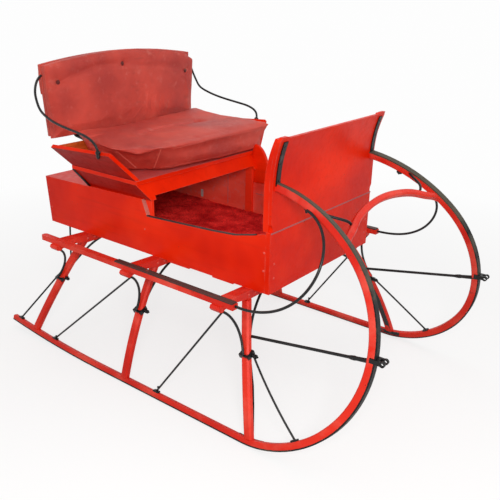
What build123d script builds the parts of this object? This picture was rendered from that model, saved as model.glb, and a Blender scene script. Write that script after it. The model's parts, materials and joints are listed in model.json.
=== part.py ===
"""Horse drawn sleigh: two bent runners, three knee benches, a box body and a cushioned seat.

+X is forward, +Y is the driver's left, +Z is up. The origin is on the floor, at the middle
of the outline. All sizes are in millimetres.
"""
import math
import os

from build123d import *

os.makedirs("parts", exist_ok=True)

# Runners: a plane for each side, leaning inwards towards the dash
half_track = 495.4
lean_per_rise = 0.2431
lean_angle = math.atan(lean_per_rise)
runner_width = 21.0
flat_depth = 16.0
curl_depth = 24.0
runner_edge = 3.5
shoe_thickness = 5.0
tail_x = -848.7
tail_turn = 5.9
tail_bend = 5500.0
flat_length = 702.1
curl_bends = [
    # radius of the shoe's outer face, degrees
    (333.4, 14.16),
    (427.0, 35.4),
    (404.8, 86.42),
    (562.1, 34.36),
    (184.6, 6.5),
]

# Body: a box with a cut-down sill at each side
body_half_width = 320.6
body_bottom = 457.0
body_front = 378.0
body_rear_bottom = -756.0
body_rear_top = -774.0
body_rear_height = 648.0
panel_thickness = 18.0
sill_line = [(-207.0, 664.0), (-180.0, 603.0), (-18.0, 612.0), (136.0, 621.0), (230.0, 629.0),
             (312.0, 648.0), (360.0, 662.0)]
floor_thickness = 13.0
carpet_thickness = 10.0
front_panel_top = 670.0

# Dash: straight at the foot, then curving forwards
dash_top = 972.0
dash_bend_start = 815.0
dash_bend = 439.0
dash_thickness = 12.0
dash_post_width = 20.0
dash_post_depth = 33.0
dash_post_bend = 414.0
dash_post_bend_start = 801.0
dash_corner_half_width = 326.0
ear_rise = 6.0
dash_foot_half_width = 312.0

# Knee benches: a lower end on the runner and a beam under the body
knee_width = 31.0
knee_thickness = 25.0
knee_top_y = 324.0
knee_mid_y = 424.0
beam_width = 40.0
beam_bottom = 425.0
rail_y = 462.0
rail_width = 26.0
rail_height = 19.0
rail_bottom = 450.0
benches = [
    # name, foot x, middle x, beam x
    ("rear", -702.0, -612.0, -531.0),
    ("middle", -149.0, -141.0, -136.0),
    ("front", 446.0, 375.0, 288.0),
]
rail_rear_x = -622.0
rail_front_x = 354.0
step_rear_x = -194.0

# Irons
iron_radius = 4.5
stay_radius = 3.6
draw_radius = 5.0

# Seat
seat_board_bottom = 728.0
seat_board_thickness = 14.0
seat_board_top = seat_board_bottom + seat_board_thickness
seat_front_x = -182.0
seat_rear_x = -538.0
seat_half_width = 364.0
seat_side_thickness = 14.0
seat_flare = 0.89
riser_foot_z = 664.0
riser_foot_rear_x = -507.0
riser_foot_front_x = -158.0
riser_foot_half_width = 314.0
back_half_width = 398.0
cushion_height = 104.0
gap = 0.3


def both(shape):
    """The shape and its mirror image on the other side."""
    return [shape, mirror(shape, about=Plane.XZ)]


def save(name, solids):
    """Write one node's solids."""
    shape = Compound(label=name, children=list(solids)) if isinstance(solids, (list, tuple)) else solids
    export_step(shape, f"parts/{name}.step")


def block(x0, x1, y0, y1, z0, z1):
    """A box between two corners."""
    return Pos((x0 + x1) / 2, (y0 + y1) / 2, (z0 + z1) / 2) * Box(x1 - x0, y1 - y0, z1 - z0)


def bent_path(corners, bends):
    """Straight runs joined by tangent bends, one radius at each inner corner."""
    points = [Vector(*corner) for corner in corners]
    edges = []
    start = points[0]
    for index in range(1, len(points) - 1):
        corner = points[index]
        back = (points[index - 1] - corner).normalized()
        ahead = (points[index + 1] - corner).normalized()
        half = math.radians(back.get_angle(ahead)) / 2
        reach = bends[index - 1] / math.tan(half)
        first = corner + back * reach
        last = corner + ahead * reach
        inwards = (back + ahead).normalized()
        centre = corner + inwards * (bends[index - 1] / math.sin(half))
        middle = centre - inwards * bends[index - 1]
        if (first - start).length > 0.05:
            edges.append(Edge.make_line(start, first))
        edges.append(Edge.make_three_point_arc(first, middle, last))
        start = last
    edges.append(Edge.make_line(start, points[-1]))
    return Wire(edges)


def swept(section, path, across):
    """Sweep a section along a path, with its own X axis close to the given direction."""
    plane = Plane(origin=path @ 0, x_dir=across, z_dir=path % 0)
    return sweep(plane * section, path=path)


def rod(path, radius):
    """A round bar along a path."""
    plane = Plane(origin=path @ 0, z_dir=path % 0)
    return sweep(plane * Circle(radius), path=path)


def curve(points):
    """A smooth path through the points."""
    return Wire([Edge.make_spline([Vector(*point) for point in points])])


def cut(shape, *tools):
    """The largest solid left after cutting the tools away."""
    solid = max(shape.solids(), key=lambda one: one.volume)
    for tool in tools:
        for cutter in tool.solids():
            left = solid.cut(cutter)
            parts = [left] if hasattr(left, "solids") else left
            pieces = [one for part in parts for one in part.solids()]
            solid = max(pieces, key=lambda one: one.volume)
    return solid


# ---- runners -------------------------------------------------------------------------------
# the shoe's inner edge lies on the floor
foot = runner_width / 2 * lean_per_rise
runner_plane = Plane(
    origin=(0, half_track, 0),
    x_dir=(1, 0, 0),
    z_dir=(0, -math.cos(lean_angle), -math.sin(lean_angle)),
)


def runner_y(z):
    """The runner's middle plane at a height."""
    return half_track - lean_per_rise * z


def walk_bends():
    """The runner's bends after the flat: centre, radius, first and last heading."""
    x = tail_x + tail_bend * math.sin(math.radians(tail_turn)) + flat_length
    s = foot
    heading = 0.0
    bends = []
    for radius, degrees in curl_bends:
        last = heading + math.radians(degrees)
        cx = x - radius * math.sin(heading)
        cs = s + radius * math.cos(heading)
        bends.append((cx, cs, radius, heading, last))
        heading = last
        x = cx + radius * math.sin(heading)
        s = cs - radius * math.cos(heading)
    return bends


flat_start_x = tail_x + tail_bend * math.sin(math.radians(tail_turn))
tail_arc = (flat_start_x, foot + tail_bend, tail_bend, -math.radians(tail_turn), 0.0)
runner_bends = [tail_arc] + walk_bends()


def runner_line(insets):
    """The runner's line inside the shoe's outer face, with a first and last inset for each bend."""
    edges = []
    for (cx, cs, radius, first, last), (start, end) in zip(runner_bends, insets):
        stops = []
        for part in (0.0, 0.5, 1.0):
            angle = first + (last - first) * part
            reach = radius - start - (end - start) * part
            stops.append(runner_plane.from_local_coords((
                cx + reach * math.sin(angle),
                cs - reach * math.cos(angle),
                0,
            )))
        edges.append(Edge.make_three_point_arc(*stops))
    flat = Edge.make_line(edges[0] @ 1, edges[1] @ 0)
    return [edges[0], flat] + edges[1:]


# the wood is thin under the knees and thickens through the first two bends of the curl
taper = curl_depth - flat_depth
flat_inset = shoe_thickness + flat_depth
curl_inset = shoe_thickness + curl_depth
inner_insets = [
    (flat_inset, flat_inset), (flat_inset, flat_inset + taper / 4), (flat_inset + taper / 4, curl_inset),
] + [(curl_inset, curl_inset)] * (len(runner_bends) - 3)
outer_edges = runner_line([(shoe_thickness, shoe_thickness)] * len(runner_bends))
inner_edges = runner_line(inner_insets)
runner_outline = Wire(outer_edges + inner_edges + [
    Edge.make_line(outer_edges[0] @ 0, inner_edges[0] @ 0),
    Edge.make_line(outer_edges[-1] @ 1, inner_edges[-1] @ 1),
])
runner = extrude(Face(runner_outline), amount=runner_width / 2, dir=runner_plane.z_dir, both=True)
inner_corners = []
for edge in runner.edges():
    if edge.length > 60:
        nearest = min((edge @ 0.5 - inner @ 0.5).length for inner in inner_edges)
        if nearest < runner_width / 2 + 0.5:
            inner_corners.append(edge)
runner = chamfer(inner_corners, runner_edge)
shoe_inset = (shoe_thickness - gap) / 2
shoe_path = Wire(runner_line([(shoe_inset, shoe_inset)] * len(runner_bends)))
shoe = swept(Rectangle(runner_width, shoe_thickness - gap), shoe_path, runner_plane.z_dir)


def inner_face(x):
    """Height and slope of the runner's inner face, in its own plane, below the curl."""
    if flat_start_x < x < flat_start_x + flat_length:
        return foot + flat_inset, 0.0
    for (cx, cs, radius, first, last), (start, end) in zip(runner_bends, inner_insets):
        if x <= cx + (radius - end) * math.sin(last):
            turn = (first + last) / 2
            for _ in range(6):
                reach = radius - start - (end - start) * (turn - first) / (last - first)
                turn = math.asin((x - cx) / reach)
            return cs - reach * math.cos(turn), math.degrees(turn)


def runner_point(x, rise=0.0):
    """A point above the middle of the runner's inner face."""
    s = inner_face(x)[0] + rise
    return (x, half_track - s * math.sin(lean_angle), s * math.cos(lean_angle))


def on_runner(x, s, slope):
    """A place in the runner's plane."""
    return runner_plane.location * Pos(x, s, 0) * Rot(0, 0, slope)


def runner_block(x, lift=0.0):
    """A block below the runner's inner face, to trim what stands on it."""
    s, slope = inner_face(x)
    return on_runner(x, s + lift, slope) * Pos(0, -50, 0) * Box(260, 100, 120)


def foot_lug(x, length=24):
    """A small flat foot on the runner's inner face."""
    s, slope = inner_face(x)
    return on_runner(x, s, slope) * Pos(0, 3, 0) * Box(length, 6, 14)


# the dash panel and posts come first, so the runner's end is trimmed to them
dash_centre = (body_front + 2 + dash_bend, dash_bend_start)
dash_face_x = body_front + 2


def dash_x(z):
    """The dash's front face at a height."""
    if z <= dash_bend_start:
        return dash_face_x
    return dash_centre[0] - math.sqrt(dash_bend ** 2 - (z - dash_bend_start) ** 2)


def profile(points_and_arcs):
    """A closed face in the XZ plane from lines and three-point arcs."""
    edges = []
    for kind, *points in points_and_arcs:
        places = [Vector(x, 0, z) for x, z in points]
        if kind == "line":
            edges.append(Edge.make_line(*places))
        else:
            edges.append(Edge.make_three_point_arc(*places))
    return Face(Wire(edges))


def extruded_y(face, y0, y1):
    """The XZ face as a solid between two values of Y."""
    return Pos(0, y0, 0) * extrude(face, amount=y1 - y0, dir=(0, 1, 0))


ear_top = dash_top + ear_rise
mid_bend_z = (dash_bend_start + ear_top) / 2


def dash_back(z):
    """The panel's rear face at a height."""
    if z <= dash_bend_start:
        return dash_face_x - dash_thickness
    radius = dash_bend + dash_thickness
    return dash_centre[0] - math.sqrt(radius ** 2 - (z - dash_bend_start) ** 2)


post_centre = (dash_face_x - dash_post_depth + dash_post_bend, dash_post_bend_start)


def post_back(z):
    """The side post's rear face at a height."""
    if z <= dash_post_bend_start:
        return dash_face_x - dash_post_depth
    return post_centre[0] - math.sqrt(dash_post_bend ** 2 - (z - dash_post_bend_start) ** 2)


dash_profile = profile([
    ("line", (dash_face_x, front_panel_top), (dash_face_x, dash_bend_start)),
    ("arc", (dash_face_x, dash_bend_start), (dash_x(mid_bend_z), mid_bend_z),
     (dash_x(ear_top), ear_top)),
    ("line", (dash_x(ear_top), ear_top), (dash_back(ear_top), ear_top)),
    ("arc", (dash_back(ear_top), ear_top), (dash_back(mid_bend_z), mid_bend_z),
     (dash_back(dash_bend_start), dash_bend_start)),
    ("line", (dash_back(dash_bend_start), dash_bend_start), (dash_back(dash_bend_start), front_panel_top)),
    ("line", (dash_back(dash_bend_start), front_panel_top), (dash_face_x, front_panel_top)),
])
dash_body = extruded_y(dash_profile, -dash_corner_half_width, dash_corner_half_width)
dash_outline = [
    (dash_foot_half_width, front_panel_top), (dash_foot_half_width, 686), (body_half_width, 698),
    (body_half_width, ear_top - 78), (dash_corner_half_width, ear_top - 14),
    (dash_corner_half_width - 6, ear_top),
    (dash_corner_half_width - 34, ear_top), (dash_corner_half_width - 52, dash_top),
]
outline_points = dash_outline + [(-y, z) for y, z in reversed(dash_outline)]
dash_front_view = extrude(Plane.YZ * make_face(Polyline(*outline_points, close=True)), amount=600)
dash_panel = dash_body & dash_front_view

mid_post_z = (dash_bend_start + dash_top) / 2
post_profile = profile([
    ("line", (dash_back(0), front_panel_top), (dash_back(0), dash_bend_start)),
    ("arc", (dash_back(0), dash_bend_start), (dash_back(mid_post_z), mid_post_z),
     (dash_back(dash_top), dash_top)),
    ("line", (dash_back(dash_top), dash_top), (post_back(dash_top), dash_top)),
    ("arc", (post_back(dash_top), dash_top), (post_back(mid_post_z), mid_post_z),
     (post_back(dash_post_bend_start), dash_post_bend_start)),
    ("line", (post_back(dash_post_bend_start), dash_post_bend_start),
     (post_back(dash_post_bend_start), front_panel_top)),
    ("line", (post_back(dash_post_bend_start), front_panel_top), (dash_back(0), front_panel_top)),
])
upper_post = extruded_y(post_profile, body_half_width - dash_post_width, body_half_width)

# ---- body ----------------------------------------------------------------------------------
side_points = [
    (body_rear_bottom, body_bottom), (body_front - panel_thickness, body_bottom),
    *reversed(sill_line), (body_rear_top, body_rear_height),
]
side_face = Plane.XZ * make_face(Polyline(*side_points, close=True))
side_panel = extrude(side_face, amount=-panel_thickness)
side_panel = Pos(0, body_half_width - panel_thickness, 0) * side_panel
inner_half_width = body_half_width - panel_thickness
front_panel = block(body_front - panel_thickness, body_front, -body_half_width, body_half_width,
                    body_bottom, front_panel_top)
rear_points = [
    (body_rear_bottom, body_bottom), (body_rear_bottom + panel_thickness, body_bottom),
    (body_rear_top + panel_thickness, body_rear_height), (body_rear_top, body_rear_height),
]
rear_face = Plane.XZ * make_face(Polyline(*rear_points, close=True))
rear_panel = Pos(0, -inner_half_width, 0) * extrude(rear_face, amount=-2 * inner_half_width)
floor_board = block(body_rear_bottom + panel_thickness, body_front - panel_thickness,
                    -inner_half_width, inner_half_width, body_bottom, body_bottom + floor_thickness)
carpet_top = body_bottom + floor_thickness + carpet_thickness
carpet = block(-420, dash_face_x - dash_post_depth - 1, -inner_half_width + 21, inner_half_width - 21,
               body_bottom + floor_thickness, carpet_top)

# the top line of the box behind the notch
top_rise = (sill_line[0][1] - body_rear_height) / (sill_line[0][0] - body_rear_top)


def side_top(x):
    """Height of the box's top line."""
    return body_rear_height + top_rise * (x - body_rear_top)


deck_front_x = -488.0
deck_face = Plane.XZ * make_face(Polyline(
    (body_rear_top + panel_thickness, side_top(body_rear_top) - 12),
    (deck_front_x, side_top(deck_front_x) - 12),
    (deck_front_x, side_top(deck_front_x)),
    (body_rear_top + panel_thickness, side_top(body_rear_top + panel_thickness)),
    close=True,
))
deck = Pos(0, -inner_half_width, 0) * extrude(deck_face, amount=-2 * inner_half_width)
deck = deck - rear_panel

# ---- knee benches --------------------------------------------------------------------------
beam_outline = [
    (0, body_bottom), (body_half_width + 4, body_bottom), (rail_y - rail_width / 2, 463),
    (rail_y - rail_width / 2, rail_bottom), (482, rail_bottom), (487, 440), (480, 430),
    (468, 427), (456, 434), (400, 438), (352, 430), (340, beam_bottom), (0, beam_bottom),
]
beam_points = beam_outline + [(-y, z) for y, z in reversed(beam_outline[1:-1])]
beam_face = Plane.YZ * make_face(Polyline(*beam_points, close=True))


def knee_post(foot_x, middle_x, beam_x, side, lift):
    """One bent knee from the runner to the beam, on the side of the given sign."""
    x, y, z = runner_point(foot_x, -18)
    path = Wire([Edge.make_three_point_arc(
        Vector(x, side * y, z),
        Vector(middle_x, side * knee_mid_y, 235),
        Vector(beam_x, side * (knee_top_y - 4), 448),
    )])
    post = swept(chamfer(Rectangle(knee_width, knee_thickness).vertices(), 6), path, (1, 0, 0))
    below = runner_block(foot_x, lift)
    if side < 0:
        below = mirror(below, about=Plane.XZ)
    return cut(post, below, block(beam_x - 100, beam_x + 100, -600, 600, beam_bottom, 600))


beams = {}
knees = {}
for name, foot_x, middle_x, beam_x in benches:
    beams[name] = Pos(beam_x, 0, 0) * extrude(beam_face, amount=beam_width / 2, both=True)
    lift = 0.6 if name == "front" else 0.1
    knees[name] = knee_post(foot_x, middle_x, beam_x, 1, lift)
    knees[name + "_right"] = knee_post(foot_x, middle_x, beam_x, -1, lift)

# ---- rails ---------------------------------------------------------------------------------
rail = block(rail_rear_x, rail_front_x, rail_y - rail_width / 2, rail_y + rail_width / 2,
             rail_bottom, rail_bottom + rail_height)
rail = fillet(rail.edges().filter_by(Axis.Z).group_by(Axis.X)[0], 12)
step_strip = block(step_rear_x, rail_front_x - 4, rail_y - 12, rail_y + 12,
                   rail_bottom + rail_height, rail_bottom + rail_height + 4)

# ---- knee irons ----------------------------------------------------------------------------
outer_irons = []
inner_irons = []
clamps = []
iron_rows = [
    # name, x of the arm end, clamp centre
    ("rear", -534.0, (-601.0, 409.0, 273.0)),
    ("middle", -136.0, (-141.0, 409.0, 273.0)),
    ("front", 290.0, (362.0, 409.0, 273.0)),
]
for name, arm_x, clamp in iron_rows:
    cx, cy, cz = clamp
    slope = (arm_x - cx) / (430 - cz)
    outer = curve([
        (arm_x, 470, 428), (cx + slope * 138, 440, 411), (cx + slope * 100, 416, 373),
        (cx + slope * 60, 411, 333), (cx, cy + 20, cz + 3),
    ])
    outer_irons.append(rod(outer, iron_radius))
    inner = curve([
        (cx, cy - 19, cz - 2), (cx + slope * 49, 364, 322), (cx + slope * 93, 324, 366),
        (cx + slope * 127, 280, 400), (arm_x, 236, 420),
    ])
    inner_irons.append(rod(inner, iron_radius))

for name, arm_x, clamp in iron_rows:
    cx, cy, cz = clamp
    ring = Pos(cx, cy, cz) * Rot(-25, 0, 0) * Box(40, 35, 16)
    ring = ring + Pos(cx + 26, cy - 4, cz) * Rot(0, 90, 0) * Cylinder(7, 22)
    clamps.append(cut(ring, knees[name]))
for index, (name, _, _) in enumerate(iron_rows):
    outer_irons[index] = cut(outer_irons[index], beams[name], clamps[index])
    inner_irons[index] = cut(inner_irons[index], beams[name], clamps[index], knees[name])

# ---- stays ---------------------------------------------------------------------------------
stay_rows = {
    # name: corners above the foot, bends, foot x
    "rear": ([(-689, 292, 286), (-676, 292, body_bottom + 4)], [60], -804),
    "middle": ([(-116, 466, 430)], [], -570),
    "front": ([(306, 466, 430)], [], 16),
}
stays = {}
for name, (corners, bends, foot_x) in stay_rows.items():
    path = bent_path([runner_point(foot_x, 4)] + corners, bends)
    stay = rod(path, stay_radius) + foot_lug(foot_x)
    stay = cut(stay, runner_block(foot_x), *beams.values(), floor_board)
    stays[name] = stay
draw_foot_x = 608
draw_path = curve([(350, 390, 312), (447, 430, 222), runner_point(draw_foot_x + 4, -2)])
draw_stay = rod(draw_path, stay_radius) + foot_lug(draw_foot_x)
draw_stay = cut(draw_stay, runner_block(draw_foot_x), runner, knees["front"], clamps[2])
eye_x = 839.5
eye_z = 414.0
eye_y = runner_y(eye_z)
eye_radius = 9.0
eye_bore = 5.0
eye_width = 30.0
draw_bar = rod(bent_path([(340, 378, 320), (eye_x - 12, eye_y, eye_z - 5)], []), draw_radius)

# ---- front irons and the bow ---------------------------------------------------------------
front_iron = rod(curve([
    (rail_front_x, rail_y, 462), (430, 463, 468), (485, 459, 484), (545, 450, 519), (592, 433, 572),
    (616, 403, 645), (600, 364, 705), (561, 334, 748), (506, runner_y(774) + 9, 774),
]), iron_radius)
bow_plane = Plane(origin=(673, 0, 672), x_dir=(0, 1, 0), z_dir=(0.7071, 0, 0.7071))
bow_half = runner_y(696) - 3
bow_line = [
    (bow_half, 34), (bow_half - 24, 48), (bow_half - 60, 61), (bow_half - 116, 85),
    (bow_half - 196, 107), (0, 120),
]
bow_points = [bow_plane.from_local_coords((y, s, 0)) for y, s in bow_line]
bow_points += [bow_plane.from_local_coords((-y, s, 0)) for y, s in reversed(bow_line[:-1])]
bow_path = Wire([Edge.make_spline(bow_points)])
bow = swept(chamfer(Rectangle(25, 22).vertices(), 5), bow_path, (0.7071, 0, 0.7071))
cross_bow = cut(bow, runner, mirror(runner, about=Plane.XZ))
front_iron = cut(front_iron, runner, shoe)
cross_bow = cut(cross_bow, shoe, mirror(shoe, about=Plane.XZ))
brace_y = runner_y(774) - 7
brace = rod(curve([
    (540, brace_y, 774), (575, brace_y - 19, 759), (597, brace_y - 36, 752), (612, brace_y - 54, 742),
    (613, brace_y - 66, 730),
]), iron_radius)

# ---- seat ----------------------------------------------------------------------------------
riser_wall = 14.0
riser_base = 645.0
riser_front_edge = 679.0


def tub(inset, z0, z1):
    """A four-sided taper between two heights, drawn in by an inset."""
    def ring(z):
        part = (z - riser_foot_z) / (seat_board_bottom - riser_foot_z)
        x0 = riser_foot_rear_x + (seat_rear_x + 6 - riser_foot_rear_x) * part + inset
        x1 = riser_foot_front_x + (seat_front_x - 8 - riser_foot_front_x) * part - inset
        half = riser_foot_half_width + (seat_half_width - 3 - riser_foot_half_width) * part - inset
        return Plane.XY.offset(z) * Pos((x0 + x1) / 2, 0) * Rectangle(x1 - x0, 2 * half)
    return loft([ring(z0), ring(z1)])


riser = tub(0, riser_base, seat_board_bottom) - tub(riser_wall, riser_base - 5, seat_board_bottom + 5)
below_top_line = Plane.XZ * make_face(Polyline(
    (-900, side_top(-900)), (300, side_top(300)), (300, 500), (-900, 500), close=True,
))
below_top_line = Pos(0, -500, 0) * extrude(below_top_line, amount=-1000)
riser = cut(riser, below_top_line, block(-300, 0, -290, 290, 500, riser_front_edge))

seat_board = block(seat_rear_x, seat_front_x, -seat_half_width, seat_half_width,
                   seat_board_bottom, seat_board_top)
flare_angle = math.atan(seat_flare)
flare_plane = Plane(
    origin=(0, seat_half_width - 2, seat_board_top),
    x_dir=(1, 0, 0),
    z_dir=(0, -math.cos(flare_angle), math.sin(flare_angle)),
)
side_slant = 1 / math.cos(flare_angle)
side_outline = [(-524, -30), (-186, -30), (-186, 0), (-221, 99 * side_slant), (-572, 74 * side_slant),
                (-538, 0)]
side_board_face = flare_plane * make_face(Polyline(*side_outline, close=True))
seat_side = extrude(side_board_face, amount=seat_side_thickness)
seat_side = cut(seat_side, block(-700, 0, 200, 600, 600, seat_board_top))
rear_lean = math.atan(36 / 74)
rear_plane = Plane(
    origin=(seat_rear_x, 0, seat_board_top),
    x_dir=(0, 1, 0),
    z_dir=(math.cos(rear_lean), 0, math.sin(rear_lean)),
)
rear_rise = 73 / math.cos(rear_lean)
rear_low = seat_half_width + 6
rear_high = seat_half_width + 76
rear_outline = [(-rear_low, -12), (rear_low, -12), (rear_high, rear_rise), (-rear_high, rear_rise)]
rear_board_face = rear_plane * make_face(Polyline(*rear_outline, close=True))
seat_rear = extrude(rear_board_face, amount=seat_side_thickness)
seat_rear = cut(seat_rear, block(-700, 0, -600, 600, 600, seat_board_top))
inside_face = flare_plane * Pos(0, 0, -300 + seat_side_thickness) * Box(2000, 600, 600)
seat_rear = cut(seat_rear, inside_face, mirror(inside_face, about=Plane.XZ))

# back board, its irons and the arms
back_bottom = (-631.0, 843.0)
back_top_z = 1114.0
back_lean = 0.023


def back_x(z):
    """The back board's front face at a height."""
    return back_bottom[0] - back_lean * (z - back_bottom[1])


back_thickness = 10.0
back_plane = Plane(
    origin=(back_bottom[0], 0, back_bottom[1]),
    x_dir=(0, 1, 0),
    z_dir=(1, 0, back_lean),
)
back_height = (back_top_z - back_bottom[1]) * math.sqrt(1 + back_lean ** 2)


def back_outline(half_width, crown):
    """The back's face: narrower at the foot, with a crowned top."""
    foot_half = half_width - 14
    corner = back_height - 6
    return Face(Wire([
        Edge.make_line(Vector(-foot_half, 0, 0), Vector(foot_half, 0, 0)),
        Edge.make_line(Vector(foot_half, 0, 0), Vector(half_width, corner, 0)),
        Edge.make_three_point_arc(
            Vector(half_width, corner, 0), Vector(0, back_height + crown, 0),
            Vector(-half_width, corner, 0)),
        Edge.make_line(Vector(-half_width, corner, 0), Vector(-foot_half, 0, 0)),
    ]))


back_board = back_plane * extrude(back_outline(back_half_width, 26), amount=-back_thickness, dir=(0, 0, 1))
iron_band = []
for y in (-250, 250):
    path = bent_path([
        (seat_rear_x - 3, y, seat_board_bottom + 2), (seat_rear_x - 3 - 41, y, seat_board_top + 74),
        (back_x(826) - back_thickness - 3, y, 826), (back_x(1040) - back_thickness - 3, y, 1040),
    ], [14, 14])
    iron_band.append(swept(Rectangle(28, 5), path, (0, 1, 0)))
back_irons = [cut(band, back_board, seat_rear) for band in iron_band]

arm_y = seat_half_width + 84
arm = rod(curve([
    (-638, back_half_width - 4, 1070), (-641, back_half_width + 14, 1053),
    (-640, back_half_width + 25, 1032), (-634, back_half_width + 33, 1006),
    (-623, back_half_width + 37, 982), (-606, back_half_width + 40, 957), (-576, arm_y - 5, 940),
    (-448, arm_y + 4, 911), (-373, arm_y + 5, 902), (-322, arm_y + 6, 893), (-284, arm_y + 5, 872),
    (-277, arm_y, 846),
]), iron_radius)
arm = cut(arm, back_board) + cut(Pos(-277, arm_y, 842) * Cylinder(7, 18), seat_side)



def cushion_ring(z, x0, x1, half_width):
    """One level of the seat cushion."""
    return Plane.XY.offset(z) * Pos((x0 + x1) / 2, 0) * RectangleRounded(x1 - x0, 2 * half_width, 24)


cushion_top = seat_board_top + cushion_height
seat_cushion = loft([
    cushion_ring(seat_board_top + gap, seat_rear_x + 16, seat_front_x + 14, seat_half_width - 38),
    cushion_ring(cushion_top, seat_rear_x - 52, seat_front_x + 30, seat_half_width + 24),
])
seat_cushion = cut(fillet(seat_cushion.faces().sort_by(Axis.Z)[-1].edges(), 14), seat_rear, seat_side,
                   mirror(seat_side, about=Plane.XZ))
cushion_face = Pos(0, 0, gap) * back_outline(back_half_width - 6, 24)
back_cushion = back_plane * extrude(cushion_face, amount=36, dir=(0, 0, 1))
back_cushion = cut(back_cushion, arm, mirror(arm, about=Plane.XZ))

# ---- dash straps ---------------------------------------------------------------------------
strap_y = 297.0
strap_width = 20.0
strap_bottom_z = 822.0
strap_thickness = 4.0
strap_lift = strap_thickness / 2 + gap * 2
strap_top_z = dash_top - 10
strap_middle_z = (strap_bottom_z + strap_top_z) / 2
strap_path = Wire([Edge.make_three_point_arc(*[
    Vector(dash_x(z) + strap_lift, 0, z) for z in (strap_bottom_z, strap_middle_z, strap_top_z)
])])
strap = Pos(0, strap_y, 0) * swept(Rectangle(strap_width, strap_thickness), strap_path, (0, 1, 0))
strap = cut(strap, dash_panel, runner, shoe)

coupling = Pos(eye_x, eye_y, eye_z) * Rot(90, 0, 0) * Cylinder(eye_radius, eye_width)
coupling = coupling + block(800, eye_x, eye_y - eye_width / 2, eye_y + eye_width / 2,
                            eye_z - 7, eye_z + 7)
coupling = coupling - Pos(eye_x, eye_y, eye_z) * Rot(90, 0, 0) * Cylinder(eye_bore, 60)
coupling = cut(coupling, block(eye_x - 12, eye_x + 20, eye_y - 7, eye_y + 7, eye_z - 20, eye_z + 20))
ears = cut(coupling, shoe, runner)
draw_bar = cut(draw_bar, runner, clamps[2], knees["front"], ears)
brace = cut(brace, cross_bow, runner, shoe)

runner = cut(runner, dash_panel)
shoe = cut(shoe, dash_panel)
rail = cut(rail, front_iron, *beams.values())

nodes = {
    "runner_left": [runner],
    "runner_right": [mirror(runner, about=Plane.XZ)],
    "shoe_left": [shoe],
    "shoe_right": [mirror(shoe, about=Plane.XZ)],
    "dash_straps": both(strap),
    "knees_rear": [knees["rear"], knees["rear_right"]],
    "knees_middle": [knees["middle"], knees["middle_right"]],
    "knees_front": [knees["front"], knees["front_right"]],
    "beam_rear": [beams["rear"]],
    "beam_middle": [beams["middle"]],
    "beam_front": [beams["front"]],
    "rail_left": [rail],
    "rail_right": [mirror(rail, about=Plane.XZ)],
    "step_strips": both(step_strip),
    "knee_clamps": [one for clamp in clamps for one in both(clamp)],
    "outer_knee_irons": [one for bar in outer_irons for one in both(bar)],
    "inner_knee_irons": [one for bar in inner_irons for one in both(bar)],
    "rear_stays": both(stays["rear"]),
    "middle_stays": both(stays["middle"]),
    "front_stays": both(stays["front"]),
    "draw_stays": both(draw_stay),
    "draw_bars": both(draw_bar),
    "shaft_couplings": both(ears),
    "front_irons": both(front_iron),
    "cross_bow": [cross_bow],
    "bow_braces": both(brace),
    "floor_board": [floor_board],
    "carpet": [carpet],
    "side_panel_left": [side_panel],
    "side_panel_right": [mirror(side_panel, about=Plane.XZ)],
    "front_panel": [front_panel],
    "rear_panel": [rear_panel],
    "rear_deck": [deck],
    "dash_panel": [dash_panel],
    "dash_posts": both(upper_post),
    "seat_riser": [riser],
    "seat_board": [seat_board],
    "seat_sides": both(seat_side),
    "seat_rear_board": [seat_rear],
    "back_board": [back_board],
    "back_irons": back_irons,
    "arm_rails": both(arm),
    "seat_cushion": [seat_cushion],
    "back_cushion": [back_cushion],
}

for name, solids in nodes.items():
    save(name, solids)
    box = Compound(children=[copy for copy in solids]).bounding_box()
    print(name, len(solids), [round(v) for v in (*box.min, *box.max)])
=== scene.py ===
# Horse drawn sleigh: finishes, soft seat, carpet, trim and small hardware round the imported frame
import json
import math
import random

import bmesh
import bpy
import numpy as np
from mathutils import Matrix, Vector, noise


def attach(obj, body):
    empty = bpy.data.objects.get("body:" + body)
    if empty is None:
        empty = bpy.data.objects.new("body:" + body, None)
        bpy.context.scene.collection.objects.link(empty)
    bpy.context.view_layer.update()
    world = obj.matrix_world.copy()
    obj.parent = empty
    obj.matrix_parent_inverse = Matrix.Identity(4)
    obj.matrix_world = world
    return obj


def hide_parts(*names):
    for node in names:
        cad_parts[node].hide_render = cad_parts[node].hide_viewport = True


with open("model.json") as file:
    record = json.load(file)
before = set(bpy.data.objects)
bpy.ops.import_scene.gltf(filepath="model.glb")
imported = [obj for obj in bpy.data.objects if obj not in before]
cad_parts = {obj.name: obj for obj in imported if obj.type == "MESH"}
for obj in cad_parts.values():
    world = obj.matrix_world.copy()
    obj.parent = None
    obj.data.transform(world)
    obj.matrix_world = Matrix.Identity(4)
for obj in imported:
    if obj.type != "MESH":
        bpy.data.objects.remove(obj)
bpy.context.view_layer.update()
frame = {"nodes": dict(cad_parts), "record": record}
nodes = frame["nodes"]
scene = bpy.context.scene
print("frame loaded:", len(nodes), "nodes")

mm = 0.001


cameraSettings = {
    "place": (1.5528, -1.9439, 1.3948),
    "yaw": 127.71,  # degrees from +X, seen from above
    "pitch": -21.30,
    "roll": 1.23,
    "lens": 48.84,  # on a sensor 36 mm wide
}


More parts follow.
